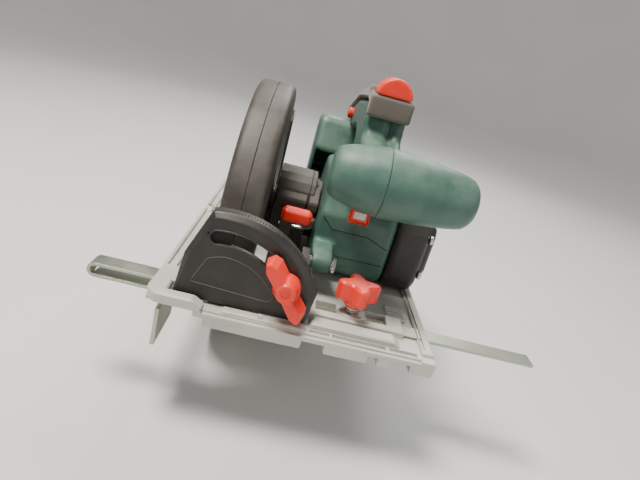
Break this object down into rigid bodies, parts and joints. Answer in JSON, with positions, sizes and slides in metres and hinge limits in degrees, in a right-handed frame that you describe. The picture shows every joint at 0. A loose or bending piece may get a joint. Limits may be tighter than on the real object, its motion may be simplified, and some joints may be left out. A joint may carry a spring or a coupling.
{
  "type": "circular saw",
  "caption": "Hand-held circular saw with sliding parallel guide, bevel quadrant, depth swing, retracting blade guard and geared motor.",
  "frame": {"origin": "middle of the base plate's sole, on the face that slides on the workpiece", "axes": "+Z out of the work and up through the saw, +Y from the front to the rear handle end, +X from the blade towards the motor"},
  "size_m": [0.2883, 0.304, 0.2267],
  "materials": {
    "cast_base": "die-cast, blasted, matt",
    "black_plastic": "fine grain, dusty",
    "green_plastic": "satin moulded, dusty",
    "soft_grip": "soft overmould",
    "red_plastic": "smooth moulded",
    "zinc_steel": "yellow zinc plated",
    "bright_steel": "bright",
    "blade_steel": "ground",
    "dark_steel": "dark oxide",
    "copper": "copper and brass",
    "carbon": "carbon and black moulding",
    "badge": "plain plate"
  },
  "bodies": {
    "base": {"base_plate": "cast_base", "bevel_quadrant": "black_plastic", "front_tilt_pin": "bright_steel", "rear_tilt_pin": "bright_steel", "guide_spring": "bright_steel"},
    "guide": {"parallel_guide": "zinc_steel"},
    "guide_clamp": {"guide_knob": "red_plastic", "guide_screw": "bright_steel"},
    "tilt_frame": {"front_bracket": "dark_steel", "depth_bracket": "zinc_steel", "depth_pivot_pin": "bright_steel"},
    "bevel_clamp": {"bevel_knob": "red_plastic", "bevel_bolt": "bright_steel"},
    "saw_body": {"upper_guard_outer": "black_plastic", "upper_guard_inner": "black_plastic", "guard_spring": "bright_steel", "gear_housing": "black_plastic", "bearing_plate": "black_plastic", "motor_housing": "green_plastic", "motor_end_cap": "black_plastic", "stator": "dark_steel", "rear_housing": "green_plastic", "soft_grip": "soft_grip", "handle_cap": "red_plastic", "badge": "badge", "switch_block": "carbon", "cable_inlet": "black_plastic", "handle_left_shell": "green_plastic", "handle_right_shell": "green_plastic", "spindle_bearing": "bright_steel", "spindle_rear_bearing": "bright_steel", "armature_front_bearing": "bright_steel", "armature_rear_bearing": "bright_steel", "carbon_brush_front": "carbon", "carbon_brush_rear": "carbon", "brush_holder_front": "copper", "brush_holder_rear": "copper", "end_cap_screw_1": "bright_steel", "end_cap_screw_2": "bright_steel", "end_cap_screw_3": "bright_steel", "end_cap_screw_4": "bright_steel"},
    "blade_group": {"spindle": "bright_steel", "drive_gear": "dark_steel", "inner_flange": "bright_steel", "outer_flange": "bright_steel", "blade_bolt": "dark_steel", "saw_blade": "blade_steel"},
    "armature": {"armature_shaft": "bright_steel", "armature_core": "dark_steel", "commutator": "copper", "cooling_fan": "black_plastic"},
    "lower_guard_body": {"lower_guard": "zinc_steel"},
    "guard_lever": {"guard_lever_rod": "bright_steel", "guard_lever_grip": "red_plastic"},
    "trigger_body": {"trigger": "red_plastic"},
    "lock_off": {"lock_off_button": "red_plastic"},
    "spindle_lock": {"spindle_lock_button": "red_plastic"},
    "depth_clamp": {"depth_clamp_lever": "red_plastic", "depth_clamp_bolt": "bright_steel"}
  },
  "joints": [
    {"name": "guide_slide", "type": "slide", "parent": "base", "child": "guide", "axis": [1, 0, 0], "range_m": [-0.1, 0.015]},
    {"name": "guide_knob_turn", "type": "hinge", "parent": "base", "child": "guide_clamp", "pos_m": [0.0352, -0.119, 0.03], "axis": [0, 0, 1], "continuous": true},
    {"name": "bevel_tilt", "type": "hinge", "parent": "base", "child": "tilt_frame", "pos_m": [-0.0475, 0, 0.006], "axis": [0, -1, 0], "range_deg": [0, 45]},
    {"name": "bevel_knob_turn", "type": "hinge", "parent": "tilt_frame", "child": "bevel_clamp", "pos_m": [-0.00996, -0.148, 0.03429], "axis": [0, -1, 0], "range_deg": [0, 95]},
    {"name": "depth_swing", "type": "hinge", "parent": "tilt_frame", "child": "saw_body", "pos_m": [0, -0.091, 0.032], "axis": [1, 0, 0], "range_deg": [0, 36]},
    {"name": "guard_swing", "type": "hinge", "parent": "saw_body", "child": "lower_guard_body", "pos_m": [-0.0475, -0.008, 0.029], "axis": [1, 0, 0], "range_deg": [0, 100], "stiffness_Nm_per_rad": 0.08, "springref_deg": -68.75},
    {"name": "guard_lever_swing", "type": "hinge", "parent": "saw_body", "child": "guard_lever", "pos_m": [-0.012, -0.0435, 0.036], "axis": [-1, 0, 0], "range_deg": [0, 24]},
    {"name": "blade_spin", "type": "hinge", "parent": "saw_body", "child": "blade_group", "pos_m": [-0.0475, -0.008, 0.029], "axis": [1, 0, 0], "continuous": true},
    {"name": "armature_spin", "type": "hinge", "parent": "saw_body", "child": "armature", "pos_m": [0.035, -0.022, 0.054], "axis": [1, 0, 0], "continuous": true},
    {"name": "trigger_pull", "type": "slide", "parent": "saw_body", "child": "trigger_body", "axis": [0, 0, 1], "range_m": [0, 0.003], "stiffness_N_per_m": 1500, "springref_m": -0.002},
    {"name": "lock_off_press", "type": "slide", "parent": "saw_body", "child": "lock_off", "axis": [1, 0, 0], "range_m": [0, 0.003], "stiffness_N_per_m": 800, "springref_m": -0.002},
    {"name": "spindle_lock_press", "type": "slide", "parent": "saw_body", "child": "spindle_lock", "axis": [0, -1, 0], "range_m": [0, 0.003], "stiffness_N_per_m": 1200, "springref_m": -0.002},
    {"name": "depth_clamp_turn", "type": "hinge", "parent": "saw_body", "child": "depth_clamp", "pos_m": [-0.005, 0.027, 0.032], "axis": [1, 0, 0], "range_deg": [0, 20]}
  ],
  "couplings": [
    {"joint": "armature_spin", "follows": "blade_spin", "ratio": -4.2},
    {"joint": "guard_lever_swing", "follows": "guard_swing", "ratio": 0.24}
  ]
}
